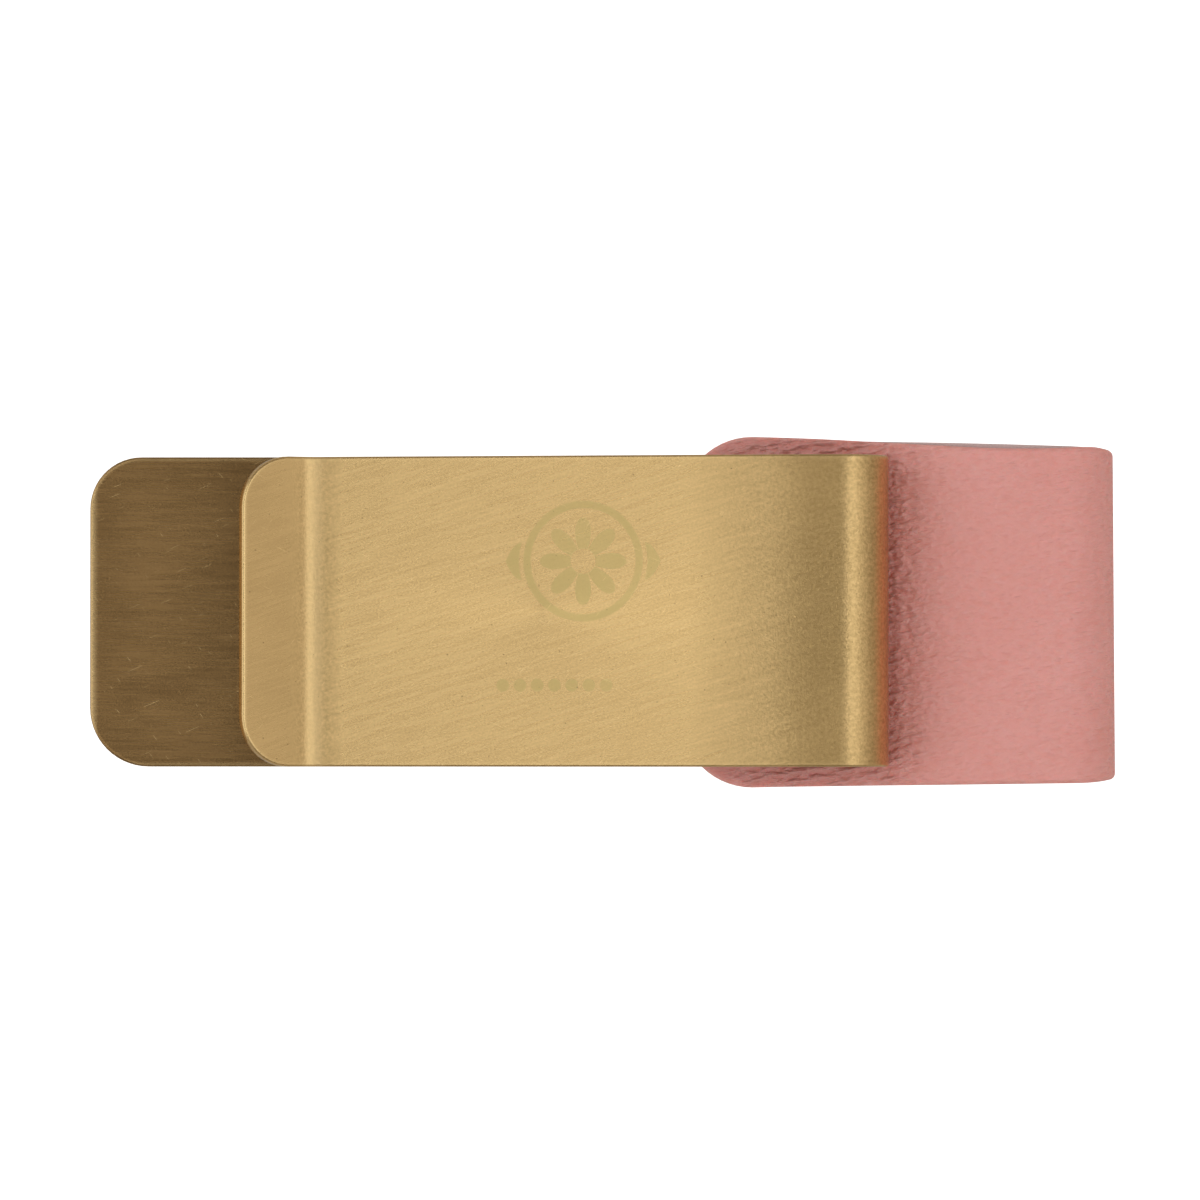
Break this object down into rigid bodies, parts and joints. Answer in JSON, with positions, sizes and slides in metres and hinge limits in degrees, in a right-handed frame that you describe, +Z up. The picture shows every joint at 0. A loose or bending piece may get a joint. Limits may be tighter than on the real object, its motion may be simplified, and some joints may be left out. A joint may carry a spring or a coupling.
{
  "type": "money clip",
  "caption": "Folded spring-brass money clip with a flared lip and rounded corners, and a flattened leather loop fixed behind its back leaf.",
  "frame": {"origin": "middle of the length and width, on the plane that the loop's underside rests on", "axes": "+X along the strip from the back leaf's free tip to the loop's fold, +Y across the strip, +Z up from the loop's underside to the front leaf"},
  "size_m": [0.0828, 0.0284, 0.0106],
  "materials": {
    "back_leaf": "brushed along its length, satin",
    "spring_bend": "fine-grained satin",
    "front_leaf": "brushed at a slant, satin, with a faint etched motif",
    "loop_leather": "fine pebble grain, matt, painted edges",
    "loop_lining": "short-napped microfibre",
    "adhesive": "cured contact adhesive",
    "rivets": "polished"
  },
  "bodies": {
    "clip": {"back_leaf": "back_leaf", "spring_bend": "spring_bend", "loop_leather": "loop_leather", "loop_lining": "loop_lining", "leaf_adhesive": "adhesive", "tail_adhesive": "adhesive", "upper_rivet_post": "rivets", "upper_rivet_cap": "rivets", "lower_rivet_post": "rivets", "lower_rivet_cap": "rivets"},
    "spring_arm": {"front_leaf": "front_leaf"}
  },
  "joints": [
    {"name": "front_leaf_flex", "type": "hinge", "parent": "clip", "child": "spring_arm", "pos_m": [0.0193, 0, 0.0069], "axis": [0, 1, 0], "range_deg": [0, 8], "stiffness_Nm_per_rad": 2.5, "springref_deg": -1.15, "deforming": ["spring_bend"]}
  ]
}
